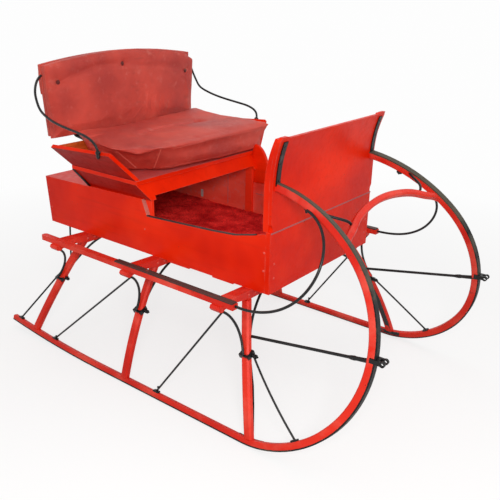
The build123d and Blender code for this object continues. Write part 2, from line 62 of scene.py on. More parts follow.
def addCamera(settings):
    yaw, pitch, roll = (math.radians(settings[key]) for key in ("yaw", "pitch", "roll"))
    ahead = Vector((math.cos(yaw) * math.cos(pitch), math.sin(yaw) * math.cos(pitch), math.sin(pitch)))
    right = Vector((math.sin(yaw), -math.cos(yaw), 0))
    up = right.cross(ahead)
    tiltedRight = right * math.cos(roll) + up * math.sin(roll)
    tiltedUp = up * math.cos(roll) - right * math.sin(roll)
    data = bpy.data.cameras.new("camera")
    data.lens = settings["lens"]
    data.sensor_width = 36
    data.sensor_fit = "HORIZONTAL"
    data.clip_end = 60
    camera = bpy.data.objects.new("camera", data)
    scene.collection.objects.link(camera)
    turn = Matrix((tiltedRight, tiltedUp, -ahead)).transposed().to_4x4()
    camera.matrix_world = Matrix.Translation(Vector(settings["place"])) @ turn
    scene.camera = camera


lampRows = [
    # name, place, aim, size in metres, watts, colour
    ("keyLamp", (1.95, -2.3, 1.8), (0.0, 0.0, 0.55), 0.9, 67, (1.0, 0.985, 0.96)),
    ("leftLamp", (-3.2, -2.6, 2.3), (0.0, 0.0, 0.5), 2.4, 8, (0.96, 0.98, 1.0)),
    ("frontLamp", (3.6, 0.9, 1.6), (0.0, 0.0, 0.5), 2.2, 13, (1.0, 0.99, 0.98)),
    ("topLamp", (-0.4, 1.0, 3.8), (0.0, 0.0, 0.5), 3.0, 20, (1.0, 1.0, 1.0)),
]


def addLamps(rows):
    for name, place, aim, size, watts, colour in rows:
        data = bpy.data.lights.new(name, "AREA")
        data.shape = "DISK"
        data.size = size
        data.energy = watts
        data.color = colour
        lamp = bpy.data.objects.new(name, data)
        scene.collection.objects.link(lamp)
        lamp.location = place
        lamp.rotation_euler = (Vector(aim) - Vector(place)).to_track_quat("-Z", "Y").to_euler()


class NodeBook:
    # writes a node tree with few words

    def __init__(self, nodeTree):
        self.tree = nodeTree
        self.tree.nodes.clear()

    def add(self, kind, inputs=None, **settings):
        made = self.tree.nodes.new(kind)
        for key, value in settings.items():
            setattr(made, key, value)
        for key, value in (inputs or {}).items():
            self.put(value, made.inputs[key])
        return made

    def put(self, value, socket):
        if isinstance(value, bpy.types.NodeSocket):
            self.tree.links.new(value, socket)
        else:
            socket.default_value = value

    def math(self, operation, first, second, clamp=False):
        node = self.add("ShaderNodeMath", {0: first, 1: second}, operation=operation, use_clamp=clamp)
        return node.outputs[0]

    def times(self, first, second, clamp=False):
        return self.math("MULTIPLY", first, second, clamp)

    def mix(self, amount, first, second):
        node = self.add("ShaderNodeMix", data_type="RGBA", blend_type="MIX")
        for name, value in (("Factor_Float", amount), ("A_Color", first), ("B_Color", second)):
            socket = next(one for one in node.inputs if one.identifier == name)
            self.put(value, socket)
        return next(one for one in node.outputs if one.identifier == "Result_Color")

    def stretched(self, place, scale):
        return self.add("ShaderNodeMapping", {"Vector": place, "Scale": scale}).outputs[0]

    def noiseOf(self, place, scale, detail, rough=0.55):
        node = self.add("ShaderNodeTexNoise", {
            "Vector": place, "Scale": scale, "Detail": detail, "Roughness": rough,
        })
        return node.outputs["Fac"]

    def ramp(self, value, low, high, bottom=0.0, top=1.0):
        node = self.add("ShaderNodeMapRange", {
            "Value": value, "From Min": low, "From Max": high, "To Min": bottom, "To Max": top,
        }, clamp=True)
        return node.outputs[0]


def startMaterial(name):
    material = bpy.data.materials.new(name)
    material.use_nodes = True
    book = NodeBook(material.node_tree)
    place = book.add("ShaderNodeTexCoord").outputs["Object"]
    shader = book.add("ShaderNodeBsdfPrincipled")
    book.add("ShaderNodeOutputMaterial", {"Surface": shader.outputs[0]})
    return material, book, place, shader


def finishSurface(book, shader, colour, gloss, specular, height, relief):
    # relief: depth of the bump in metres
    for value, key in ((colour, "Base Color"), (gloss, "Roughness"), (specular, "Specular IOR Level")):
        book.put(value, shader.inputs[key])
    bump = book.add("ShaderNodeBump", {"Height": height, "Distance": relief, "Strength": 1.0})
    book.put(bump.outputs[0], shader.inputs["Normal"])


def edgeMask(book, radius, low, high):
    # 1 on convex and concave edges, 0 on flats
    rounded = book.add("ShaderNodeBevel", {"Radius": radius}, samples=4).outputs[0]
    flat = book.add("ShaderNodeNewGeometry").outputs["Normal"]
    same = book.add("ShaderNodeVectorMath", {0: rounded, 1: flat}, operation="DOT_PRODUCT").outputs["Value"]
    return book.ramp(same, high, low)


def rgb(red, green, blue):
    # a colour given as it looks on a screen, 0 to 255
    def linear(value):
        value = value / 255
        return value / 12.92 if value <= 0.04045 else ((value + 0.055) / 1.055) ** 2.4
    return (linear(red), linear(green), linear(blue), 1.0)


def paintedWood(name, look, facingFinishAndPaintedLight=None):
    # the last argument gives another colour to the faces that look along one axis: bare wood and worn paint
    # on some pieces, painted light and painted shade on others
    material, book, place, shader = startMaterial(name)
    grainPlace = book.stretched(place, look["grain"])
    cloud = book.noiseOf(place, 3.2, 3.0)
    grain = book.noiseOf(grainPlace, 1.0, 5.0, 0.6)
    fine = book.noiseOf(place, 55.0, 4.0)
    colour = book.mix(book.ramp(cloud, 0.35, 0.66), look["deep"], look["bright"])
    colour = book.mix(book.ramp(grain, 0.52, 0.78, 0.0, look["grainShow"]), colour, look["grainColour"])
    # dull, slightly dusty patches
    dust = book.times(book.ramp(book.noiseOf(place, 6.5, 5.0, 0.62), 0.5, 0.75), look["dust"])
    colour = book.mix(dust, colour, look["dustColour"])
    # rubbed edges
    edges = edgeMask(book, look["edgeRadius"], 0.80, 0.985)
    rubbed = book.times(edges, book.ramp(book.noiseOf(place, 24.0, 5.0, 0.7), 0.42, 0.62), True)
    colour = book.mix(book.times(rubbed, look["edgeWear"]), colour, look["edgeColour"])
    # small chips and scuffs
    chips = book.ramp(book.noiseOf(place, 34.0, 3.0, 0.8), look["chipFrom"], look["chipFrom"] + 0.03)
    colour = book.mix(book.times(chips, 0.75), colour, look["chipColour"])
    if facingFinishAndPaintedLight:
        facing = book.add("ShaderNodeTexCoord").outputs["Normal"]
        parts = book.add("ShaderNodeSeparateXYZ", {0: facing}).outputs
        shown = book.math("GREATER_THAN", book.times(parts[facingFinishAndPaintedLight["axis"]], facingFinishAndPaintedLight["side"]), facingFinishAndPaintedLight["least"])
        # streaks over those faces: grain on bare wood, variation within the painted light and painted shade
        rings = book.noiseOf(book.stretched(place, facingFinishAndPaintedLight["streaks"]), 1.0, 6.0, 0.6)
        facingColour = book.mix(book.ramp(rings, 0.36, 0.64), facingFinishAndPaintedLight["dark"], facingFinishAndPaintedLight["pale"])
        facingColour = book.mix(book.ramp(fine, 0.55, 0.72, 0.0, 0.5), facingColour, facingFinishAndPaintedLight["marks"])
        colour = book.mix(shown, colour, facingColour)
    gloss = book.ramp(fine, 0.3, 0.75, look["roughness"] - 0.07, look["roughness"] + 0.1)
    gloss = book.math("ADD", gloss, book.times(book.math("ADD", dust, rubbed), 0.3), True)
    height = book.math("ADD", grain, book.times(fine, 0.18))
    height = book.math("SUBTRACT", height, book.times(chips, 0.5))
    finishSurface(book, shader, colour, gloss, look["specular"], height, look["relief"])
    return material


bodyLook = {
    "bright": rgb(240, 42, 3),
    "deep": rgb(206, 26, 2),
    "grain": (3.0, 60.0, 60.0),
    "grainShow": 0.22,
    "grainColour": rgb(160, 18, 4),
    "dust": 0.16,
    "dustColour": rgb(206, 66, 40),
    "edgeRadius": 0.003,
    "edgeWear": 0.8,
    "edgeColour": rgb(214, 106, 90),
    "chipFrom": 0.70,
    "chipColour": rgb(150, 40, 30),
    "roughness": 0.36,
    "specular": 0.12,
    "relief": 0.0006,
}

gearLook = dict(
    bodyLook,
    bright=rgb(228, 52, 32),
    deep=rgb(196, 30, 18),
    grain=(6.0, 45.0, 12.0),
    grainColour=rgb(140, 22, 16),
    dust=0.7,
    dustColour=rgb(222, 98, 84),
    specular=0.2,
    edgeWear=0.55,
    edgeColour=rgb(150, 60, 48),
    chipFrom=0.68,
    chipColour=rgb(110, 34, 26),
    roughness=0.42,
)

# bare wood on the front of the seat's rear board
bareInside = {
    "axis": 0, "side": 1.0, "least": 0.5, "streaks": (30.0, 2.2, 30.0),
    "dark": rgb(176, 70, 24), "pale": rgb(206, 100, 42), "marks": rgb(120, 44, 16),
}

# rubbed paint on top of the seat board
wornTop = {
    "axis": 2, "side": 1.0, "least": 0.5, "streaks": (14.0, 3.0, 30.0),
    "dark": rgb(198, 56, 48), "pale": rgb(196, 100, 100), "marks": rgb(140, 104, 112),
}

# painted light: paler paint on the inner faces of the side panels, which stand in the box's shade
paintedInsideLight = {
    "axis": 1, "side": -1.0, "least": 0.5, "streaks": (4.0, 30.0, 12.0),
    "dark": rgb(226, 60, 46), "pale": rgb(240, 90, 74), "marks": rgb(206, 110, 110),
}

# painted shade: darker paint on the faces that look down, on the seat's sides and riser under its overhang
paintedUnderShade = {
    "axis": 2, "side": -1.0, "least": 0.25, "streaks": (3.0, 30.0, 30.0),
    "dark": rgb(160, 20, 10), "pale": rgb(184, 26, 12), "marks": rgb(140, 22, 16),
}


def darkIron(name, look):
    material, book, place, shader = startMaterial(name)
    cloud = book.noiseOf(place, 14.0, 5.0, 0.6)
    fine = book.noiseOf(place, 90.0, 4.0, 0.6)
    colour = book.mix(book.ramp(cloud, 0.35, 0.7), look["dark"], look["pale"])
    patches = book.noiseOf(place, look["wornScale"], 6.0, 0.68)
    worn = book.ramp(patches, look["wornFrom"], look["wornFrom"] + 0.1)
    colour = book.mix(book.times(worn, look["wornShow"]), colour, look["wornColour"])
    if "high" in look:
        # paler olive grey higher up, black below
        parts = book.add("ShaderNodeSeparateXYZ", {0: place}).outputs
        wavy = book.math("ADD", parts["Z"], book.times(cloud, 0.12))
        colour = book.mix(book.ramp(wavy, look["highFrom"], look["highTo"], 0.0, 0.8), colour, look["high"])
    rust = book.ramp(book.noiseOf(place, 40.0, 5.0, 0.7), 0.66, 0.74)
    colour = book.mix(book.times(rust, 0.45), colour, rgb(92, 44, 26))
    gloss = book.ramp(fine, 0.3, 0.7, look["roughness"] - 0.08, look["roughness"] + 0.12)
    height = book.math("ADD", fine, book.times(rust, 0.5))
    finishSurface(book, shader, colour, gloss, look["specular"], height, look["relief"])
    book.put(look["metallic"], shader.inputs["Metallic"])
    return material


ironLook = {
    "dark": rgb(9, 9, 10),
    "pale": rgb(26, 25, 26),
    "wornScale": 22.0,
    "wornFrom": 0.60,
    "wornShow": 0.35,
    "wornColour": rgb(96, 92, 90),
    "roughness": 0.38,
    "specular": 0.35,
    "metallic": 0.2,
    "relief": 0.0004,
}

shoeLook = dict(
    ironLook,
    dark=rgb(10, 12, 17),
    pale=rgb(34, 32, 30),
    wornScale=7.0,
    wornFrom=0.54,
    wornShow=0.45,
    wornColour=rgb(96, 90, 76),
    roughness=0.5,
    specular=0.22,
    high=rgb(84, 78, 66),
    highFrom=0.66,  # metres above the floor
    highTo=0.76,
)


def darkStrip(name, low, high, chip):
    # streaked dark paint with chips that show the red
    material, book, place, shader = startMaterial(name)
    streaks = book.noiseOf(book.stretched(place, (8.0, 120.0, 60.0)), 1.0, 5.0, 0.65)
    blotch = book.noiseOf(place, 20.0, 5.0, 0.7)
    colour = book.mix(book.ramp(streaks, 0.35, 0.7), low, high)
    colour = book.mix(book.ramp(blotch, 0.58, 0.66, 0.0, 0.6), colour, chip)
    gloss = book.ramp(streaks, 0.3, 0.7, 0.5, 0.7)
    finishSurface(book, shader, colour, gloss, 0.5, streaks, 0.0008)
    return material


def leatherCloth(name, look):
    material, book, place, shader = startMaterial(name)
    cloud = book.noiseOf(place, 5.0, 4.0, 0.6)
    cells = book.add("ShaderNodeTexVoronoi", {"Vector": place, "Scale": 420.0}, feature="DISTANCE_TO_EDGE")
    fold = book.noiseOf(book.stretched(place, (8.0, 8.0, 22.0)), 1.0, 5.0, 0.62)
    colour = book.mix(book.ramp(cloud, 0.35, 0.68), look["deep"], look["bright"])
    scuff = book.ramp(book.noiseOf(place, 30.0, 6.0, 0.72), 0.56, 0.70, 0.0, look["scuff"])
    colour = book.mix(scuff, colour, look["pale"])
    creased = book.ramp(fold, 0.60, 0.72, 0.0, 0.35)
    colour = book.mix(creased, colour, look["dark"])
    edges = edgeMask(book, 0.006, 0.75, 0.97)
    colour = book.mix(book.times(edges, 0.3), colour, look["pale"])
    gloss = book.ramp(cloud, 0.3, 0.7, 0.4, 0.55)
    height = book.math("ADD", book.ramp(cells.outputs[0], 0.0, 0.25), book.times(fold, 2.2))
    finishSurface(book, shader, colour, gloss, 0.4, height, 0.0007)
    return material


cushionLook = {
    "bright": rgb(218, 78, 62),
    "deep": rgb(180, 50, 40),
    "dark": rgb(112, 24, 22),
    "pale": rgb(220, 128, 112),
    "scuff": 0.45,
}


def pileCarpet(name):
    material, book, place, shader = startMaterial(name)
    tufts = book.noiseOf(place, 210.0, 3.0, 0.7)
    cloud = book.noiseOf(place, 16.0, 4.0, 0.6)
    colour = book.mix(book.ramp(cloud, 0.35, 0.68), rgb(176, 14, 18), rgb(240, 50, 46))
    colour = book.mix(book.ramp(tufts, 0.45, 0.7, 0.0, 0.6), colour, rgb(120, 8, 12))
    finishSurface(book, shader, colour, 0.95, 0.1, tufts, 0.003)
    return material


bodyPaint = paintedWood("bodyPaint", bodyLook)
gearPaint = paintedWood("gearPaint", gearLook)
tubRear = paintedWood("tubRear", bodyLook, bareInside)
wornBoard = paintedWood("wornBoard", bodyLook, wornTop)
# side panels with painted light on their inner faces
leftPanel = paintedWood("leftPanel", bodyLook, paintedInsideLight)
rightPanel = paintedWood("rightPanel", bodyLook, dict(paintedInsideLight, side=1.0))
# seat sides and riser, with painted shade on the faces that look down
shadedPaint = paintedWood("shadedPaint", dict(bodyLook, specular=0.03), paintedUnderShade)
wornPaint = paintedWood("wornPaint", dict(
    bodyLook, bright=rgb(196, 120, 110), deep=rgb(168, 84, 76), dust=0.5,
    chipFrom=0.6, chipColour=rgb(150, 132, 134),
))
# painted light: a brighter copy of the body paint for the posts inside the shaded box
postPaintedLight = paintedWood("postPaintedLight", dict(
    bodyLook, bright=rgb(250, 58, 30), deep=rgb(236, 46, 24), edgeWear=0.5,
))
greyTrim = paintedWood("greyTrim", dict(
    bodyLook, bright=rgb(176, 104, 108), deep=rgb(158, 88, 92), dust=0.4, dustColour=rgb(184, 150, 156),
))
rivetPaint = paintedWood("rivetPaint", dict(
    gearLook, bright=rgb(226, 96, 84), deep=rgb(206, 70, 60), edgeRadius=0.001,
))
blackIron = darkIron("blackIron", ironLook)
shoeSteel = darkIron("shoeSteel", shoeLook)
paleIron = darkIron("paleIron", dict(ironLook, dark=rgb(150, 140, 140), pale=rgb(196, 188, 186)))
stripPaint = darkStrip("stripPaint", rgb(38, 18, 14), rgb(72, 36, 28), rgb(140, 56, 44))
edgingPaint = darkStrip("edgingPaint", rgb(20, 12, 12), rgb(50, 30, 28), rgb(96, 70, 66))
leatherRed = leatherCloth("leatherRed", cushionLook)
# paler leather for the corner seams: a painted highlight
leatherPaintedHighlight = leatherCloth("leatherPaintedHighlight", dict(
    cushionLook, bright=rgb(236, 120, 104), deep=rgb(214, 92, 78),
))
leatherDark = leatherCloth("leatherDark", dict(
    cushionLook, bright=rgb(104, 24, 20), deep=rgb(76, 14, 12),
))
carpetRed = pileCarpet("carpetRed")

slotMaterials = {
    "gear_paint": gearPaint,
    "body_paint": bodyPaint,
    "shoe_steel": shoeSteel,
    "black_iron": blackIron,
    "step_strip": stripPaint,
    "upholstery": leatherRed,
    "carpet": carpetRed,
}

# nodes with a finish of their own
nodeMaterials = {
    "seat_rear_board": tubRear,
    "seat_board": wornBoard,
    "back_board": leatherRed,
    "side_panel_left": leftPanel,
    "side_panel_right": rightPanel,
    "seat_sides": shadedPaint,
    "seat_riser": shadedPaint,
    "dash_straps": blackIron,
}


def dressNodes():
    # a node takes its own finish, or the one of its slot in the record
    for part in frame["record"]["subparts"]:
        mesh = nodes[part["node"]].data
        mesh.materials.clear()
        mesh.materials.append(nodeMaterials.get(part["node"], slotMaterials[part["material_slot"]]))


dressNodes()
print("nodes finished")


def meshFrom(name, work):
    mesh = bpy.data.meshes.new(name)
    work.normal_update()
    work.to_mesh(mesh)
    work.free()
    return mesh


def addPiece(name, work, material, smooth=True):
    mesh = meshFrom(name, work)
    piece = bpy.data.objects.new(name, mesh)
    scene.collection.objects.link(piece)
    mesh.materials.append(material)
    if smooth:
        mesh.shade_smooth()
    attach(piece, "root")
    return piece


studioSettings = {
    "size": 14.0,  # half the floor's width, metres
    "drop": 0.0005,  # floor below the runners' soles, metres
    "shade": 0.9,  # the paper as it is seen
    "bounce": 0.3,  # the paper as it lights the sleigh
    "glow": 0.72,  # share of plain backdrop near the middle
    "fadeFrom": 1.3,  # metres from the middle
    "fadeTo": 2.8,
    "backdrop": 0.985,
    "soft": 0.58,  # light from all round
    "softColour": (1.0, 0.98, 0.97, 1),
}


def grey(value):
    return (value, value, value, 1)


def seenRays(book):
    # 1 for rays that show the background, straight or in a polished or clear surface
    rays = book.add("ShaderNodeLightPath").outputs
    seen = book.math("ADD", rays["Is Camera Ray"], rays["Is Glossy Ray"], True)
    return book.math("ADD", seen, rays["Is Transmission Ray"], True)


def addFloor(settings):
    work = bmesh.new()
    bmesh.ops.create_grid(work, x_segments=1, y_segments=1, size=settings["size"])
    mesh = meshFrom("floor", work)
    floor = bpy.data.objects.new("floor", mesh)
    scene.collection.objects.link(floor)
    floor.location = (0, 0, -settings["drop"])
    material = bpy.data.materials.new("floorPaper")
    material.use_nodes = True
    book = NodeBook(material.node_tree)
    seen = seenRays(book)
    dim = book.add("ShaderNodeBsdfDiffuse", {"Color": grey(settings["bounce"])})
    pale = book.add("ShaderNodeBsdfDiffuse", {"Color": grey(settings["shade"])})
    paper = book.add("ShaderNodeMixShader", {0: seen, 1: dim.outputs[0], 2: pale.outputs[0]})
    glow = book.add("ShaderNodeEmission", {"Color": grey(settings["backdrop"]), "Strength": 1.0})
    place = book.add("ShaderNodeTexCoord").outputs["Object"]
    away = book.add("ShaderNodeVectorMath", {0: place}, operation="LENGTH").outputs["Value"]
    fade = book.ramp(away, settings["fadeFrom"], settings["fadeTo"], settings["glow"], 1.0)
    share = book.times(fade, seen)
    mixed = book.add("ShaderNodeMixShader", {0: share, 1: paper.outputs[0], 2: glow.outputs[0]})
    book.add("ShaderNodeOutputMaterial", {"Surface": mixed.outputs[0]})
    mesh.materials.append(material)


def addWorld(settings):
    world = bpy.data.worlds.new("studio")
    scene.world = world
    world.use_nodes = True
    book = NodeBook(world.node_tree)
    soft = book.add("ShaderNodeBackground", {"Color": settings["softColour"], "Strength": settings["soft"]})
    shown = book.add("ShaderNodeBackground", {"Color": grey(settings["backdrop"]), "Strength": 1.0})
    mixed = book.add("ShaderNodeMixShader", {0: seenRays(book), 1: soft.outputs[0], 2: shown.outputs[0]})
    book.add("ShaderNodeOutputWorld", {"Surface": mixed.outputs[0]})
    scene.view_settings.view_transform = "Standard"


addCamera(cameraSettings)
addLamps(lampRows)
addFloor(studioSettings)
addWorld(studioSettings)
print("studio ready")


def pointAt(values):
    return Vector(values) * mm


def skinRings(work, rings):
    # the walls between the rings of a closed form, and its two ends
    count = len(rings[0])
    for first, second in zip(rings, rings[1:]):
        for step in range(count):
            after = (step + 1) % count
            work.faces.new((first[step], first[after], second[after], second[step]))
    work.faces.new(list(reversed(rings[0])))
    work.faces.new(rings[-1])


def skinForm(work, rings):
    # the same with every face turned outwards
    skinRings(work, rings)
    bmesh.ops.recalc_face_normals(work, faces=work.faces)


def roundRing(work, middle, side, other, radius, sides):
    ring = []
    for step in range(sides):
        turn = 2 * math.pi * step / sides
        ring.append(work.verts.new(middle + (side * math.cos(turn) + other * math.sin(turn)) * radius))
    return ring


def addTube(work, points, radius, sides):
    # a closed tube along a line of points
    rings = []
    side = None
    for index, point in enumerate(points):
        ahead = (points[min(index + 1, len(points) - 1)] - points[max(index - 1, 0)]).normalized()
        if side is None:
            side = ahead.orthogonal().normalized()
        side = (side - ahead * side.dot(ahead)).normalized()
        rings.append(roundRing(work, point, side, ahead.cross(side), radius, sides))
    skinRings(work, rings)


def addTurned(work, place, axis, profile, sides):
    # a turned form: rows of radius and height along the axis in mm, closed at both ends
    axis = Vector(axis).normalized()
    side = axis.orthogonal().normalized()
    other = axis.cross(side)
    skinRings(work, [
        roundRing(work, place + axis * (height * mm), side, other, radius * mm, sides)
        for radius, height in profile
    ])


def domeProfile(radius, height, sink):
    rows = [(radius, -sink), (radius, height * 0.2)]
    for step in range(1, 7):
        turn = math.pi / 2 * step / 7
        rows.append((radius * math.cos(turn), height * (0.2 + 0.8 * math.sin(turn))))
    rows.append((radius * 0.1, height))
    return rows


def addDome(work, place, axis, radius, height, sink=1.5, sides=20):
    addTurned(work, pointAt(place), axis, domeProfile(radius, height, sink), sides)


def addNut(work, place, axis, across, height, boltRadius, boltEnd):
    # a nut with a bevelled top and the bolt's end standing proud
    half = across / 2
    nut = [(half, -1.0), (half, height * 0.8), (half * 0.86, height)]
    addTurned(work, pointAt(place), axis, nut, 6)
    end = height + boltEnd
    bolt = [(boltRadius, height * 0.5), (boltRadius, end - 1), (boltRadius * 0.75, end)]
    addTurned(work, pointAt(place), axis, bolt, 14)


def addBlock(work, low, high, bevel):
    made = bmesh.ops.create_cube(work, size=1.0)["verts"]
    low, high = pointAt(low), pointAt(high)
    for vert in made:
        vert.co = Vector((low[i] + (vert.co[i] + 0.5) * (high[i] - low[i]) for i in range(3)))
    edges = list({edge for vert in made for edge in vert.link_edges})
    bmesh.ops.bevel(work, geom=edges, offset=bevel * mm, segments=2, affect="EDGES", profile=0.6)


def mirrored(rows):
    # each row's place again on the other side of the middle plane
    return [(row, sign) for row in rows for sign in (1, -1)]


def turnedOver(values, sign):
    return (values[0], values[1] * sign, values[2])


def castOn(target, shots):
    # where lines, each a place in mm and an aim, meet a piece or a node, with the normals there;
    # a line that misses is named and left out
    found = []
    for place, aim in shots:
        hit, point, normal, _ = target.ray_cast(pointAt(place), Vector(aim))
        if hit:
            found.append((point, normal))
        else:
            print("no surface of", target.name, "at", place)
    return found


# how the leather of both cushions swells
clothSettings = {"tension": 9.0, "shear": 4.5, "bending": 0.6, "mass": 0.4, "quality": 4, "frames": 20}

seatPad = {
    # outline of the starting form before it swells, mm, at its foot and its top
    "footHeight": 745,
    "topHeight": 846,
    "middle": -370,
    "pull": 0.022,  # how far the boxing pulls in at mid height
    "foot": [
        (-520, -272), (-420, -300), (-338, -298), (-302, -264), (-276, -232), (-246, -214), (-208, -165),
        (-182, 110), (-178, 352), (-320, 350), (-520, 346),
    ],
    # x, y and rise; the near front corner has slumped
    "top": [
        (-596, -306, 5), (-430, -352, 0), (-298, -394, 0), (-250, -386, -4), (-202, -332, -24),
        (-158, -262, -5), (-149, -200, 0), (-148, 60, 0), (-148, 390, 0), (-360, 400, 8), (-596, 388, 16),
    ],
    "voxel": 8.0,
    "pressure": 4.0,
    "cap": 11.0,  # most that a point may move, mm
    "fill": 0.75,
    "buttons": [(-391, -136), (-378, 172)],
    "uneven": (2.2, 0.12, 1),  # height in mm, size in metres, seed
    "dimple": (11, 5.0, 7, 5),  # radius and depth in mm, folds, seed
}

backPad = {
    "footHalf": 385,
    "topHalf": 400,
    "low": 831,
    "corner": 1108,
    "crown": 1143,
    "rear": 0.5,  # in front of the board's face
    "front": 30,
    "voxel": 7.0,
    "pressure": 4.0,
    "cap": 7.0,
    "fill": 0.7,
    "buttons": [(-345, 1043), (-23, 1089), (345, 1033)],
    "uneven": (1.6, 0.14, 2),
    "dimple": (10, 4.5, 7, 9),
}

buttonLook = {
    "reach": 0.011,  # metres of leather held down round each button
    "radius": 9.0,
    "height": 4.5,
    "sink": 5.5,
    "proud": 1.5,
}

boardFace = {"x": -631.0, "z": 843.0, "lean": 0.023}


def faceX(height):
    # front of the back board at a height, mm
    return boardFace["x"] - boardFace["lean"] * (height - boardFace["z"])


def seatForm(pad):
    work = bmesh.new()
    levels = 9
    middle = pad["middle"]
    rings = []
    for level in range(levels + 1):
        part = level / levels
        height = pad["footHeight"] + (pad["topHeight"] - pad["footHeight"]) * part
        pull = 1 - pad["pull"] * math.sin(math.pi * part)
        ring = []
        for (x, y), (topX, topY, rise) in zip(pad["foot"], pad["top"]):
            across = (middle + (x + (topX - x) * part - middle) * pull, (y + (topY - y) * part) * pull)
            ring.append(work.verts.new(pointAt((*across, height + rise * part ** 2))))
        rings.append(ring)
    skinForm(work, rings)
    return work


def addSlab(work, outline, rear, front):
    # a board or pad that leans as the back does: outline in Y and Z, and two depths from the board's face
    skinForm(work, [
        [work.verts.new(pointAt((faceX(z) + depth, y, z))) for y, z in outline] for depth in (rear, front)
    ])


def backForm(pad):
    outline = [(-pad["footHalf"], pad["low"]), (-pad["topHalf"], pad["corner"] - 10)]
    steps = 16
    for step in range(steps + 1):
        part = step / steps
        across = (2 * part - 1) * (pad["topHalf"] - 8)
        rise = pad["corner"] + (pad["crown"] - pad["corner"]) * (1 - (2 * part - 1) ** 2)
        # the far corner is rounder than the near one
        drop = 20 * max(0.0, (across - 330) / 58) ** 2
        outline.append((across, rise - drop))
    outline += [(pad["topHalf"], pad["corner"] - 26), (pad["footHalf"], pad["low"])]
    work = bmesh.new()
    addSlab(work, outline, pad["rear"], pad["front"])
    return work


def applyModifiers(piece):
    bpy.context.view_layer.update()
    graph = bpy.context.evaluated_depsgraph_get()
    mesh = bpy.data.meshes.new_from_object(piece.evaluated_get(graph))
    old = piece.data
    piece.modifiers.clear()
    piece.data = mesh
    bpy.data.meshes.remove(old)
    mesh.name = piece.name


def bevelEdges(piece, width, segments):
    bevel = piece.modifiers.new("bevel", "BEVEL")
    bevel.width = width * mm
    bevel.segments = segments
    bevel.limit_method = "ANGLE"
    applyModifiers(piece)


def readPoints(mesh, key="co"):
    values = np.empty(len(mesh.vertices) * 3)
    mesh.vertices.foreach_get(key, values)
    return values.reshape(-1, 3)


def setCoords(mesh, coords):
    mesh.vertices.foreach_set("co", coords.ravel())
    mesh.update()


def pushOut(mesh, lift):
    # each point moves along its normal by its own lift, metres
    setCoords(mesh, readPoints(mesh) + readPoints(mesh, "normal") * lift[:, None])


def swell(piece, pad, heldMask, soft):
    # remesh, blow up as cloth with the held points fixed, cap the movement and subdivide once
    remesh = piece.modifiers.new("remesh", "REMESH")
    remesh.mode = "VOXEL"
    remesh.voxel_size = pad["voxel"] * mm
    applyModifiers(piece)
    start = readPoints(piece.data)
    held = piece.vertex_groups.new(name="held")
    held.add([int(i) for i in np.flatnonzero(heldMask(start))], 1.0, "REPLACE")
    cloth = piece.modifiers.new("cloth", "CLOTH")
    settings = cloth.settings
    settings.quality = soft["quality"]
    settings.mass = soft["mass"]
    settings.tension_stiffness = soft["tension"]
    settings.compression_stiffness = soft["tension"]
    settings.shear_stiffness = soft["shear"]
    settings.bending_stiffness = soft["bending"]
    settings.use_pressure = True
    settings.uniform_pressure_force = pad["pressure"]
    settings.vertex_group_mass = "held"
    settings.effector_weights.gravity = 0
    cloth.collision_settings.use_collision = False
    cloth.point_cache.frame_start = 1
    cloth.point_cache.frame_end = soft["frames"]
    for step in range(1, soft["frames"] + 1):
        scene.frame_set(step)
    applyModifiers(piece)
    scene.frame_set(1)
    piece.vertex_groups.clear()
    moved = readPoints(piece.data) - start
    length = np.linalg.norm(moved, axis=1, keepdims=True)
    cap = pad["cap"] * mm
    # soft cap, so that no edge shows where it begins
    capped = cap * np.tanh(length / cap)
    setCoords(piece.data, start + moved * capped / np.maximum(length, 1e-9))
    print(piece.name, "swelled by up to", round(float(capped.max()) / mm, 1), "mm")
    subdivide = piece.modifiers.new("subdivide", "SUBSURF")
    subdivide.levels = subdivide.render_levels = 1
    smooth = piece.modifiers.new("smooth", "SMOOTH")
    smooth.iterations = 9
    smooth.factor = 0.5
    applyModifiers(piece)


def lineDistance(coords, points):
    # distance from each point of the mesh to a line of points, and the part of the line it is nearest to
    best = np.full(len(coords), 1e9)
    along = np.zeros(len(coords))
    total = len(points) - 1
    for index in range(total):
        a = np.array(points[index]) * mm
        b = np.array(points[index + 1]) * mm
        part = np.clip(((coords - a) @ (b - a)) / max((b - a) @ (b - a), 1e-12), 0, 1)
        distance = np.linalg.norm(coords - (a + part[:, None] * (b - a)), axis=1)
        near = distance < best
        best = np.where(near, distance, best)
        along = np.where(near, (index + part) / total, along)
    return best, along


def addCreases(piece, creases):
    # each crease: points in mm, width and height in mm, height below nought for a groove
    coords = readPoints(piece.data)
    lift = np.zeros(len(coords))
    for points, width, height in creases:
        distance, along = lineDistance(coords, points)
        fade = np.sin(np.pi * np.clip(along, 0.02, 0.98)) ** 0.6
        lift += height * mm * fade * np.exp(-(distance / (width * mm)) ** 2)
    pushOut(piece.data, lift)


def addDimples(piece, spots, radius, depth, rays, seed):
    # a pit round each button with small folds running out from it
    coords = readPoints(piece.data)
    chance = random.Random(seed)
    lift = np.zeros(len(coords))
    for spot in spots:
        centre = np.array(spot) * mm
        away = coords - centre
        distance = np.linalg.norm(away, axis=1)
        across = np.argsort(np.abs(away[distance < 0.03]).sum(axis=0))[1:]
        angle = np.arctan2(away[:, across[0]], away[:, across[1]])
        lift -= depth * mm * np.exp(-(distance / (radius * mm)) ** 2)
        for _ in range(rays):
            aim, reach = chance.uniform(-math.pi, math.pi), chance.uniform(0.022, 0.05)
            turned = np.angle(np.exp(1j * (angle - aim)))
            ray = np.exp(-(turned * distance / 0.0035) ** 2) * np.exp(-(distance / reach) ** 2)
            ray = ray * (np.cos(turned) > 0)
            lift -= depth * 0.28 * mm * ray * np.clip(distance / 0.008, 0, 1)
    pushOut(piece.data, lift)


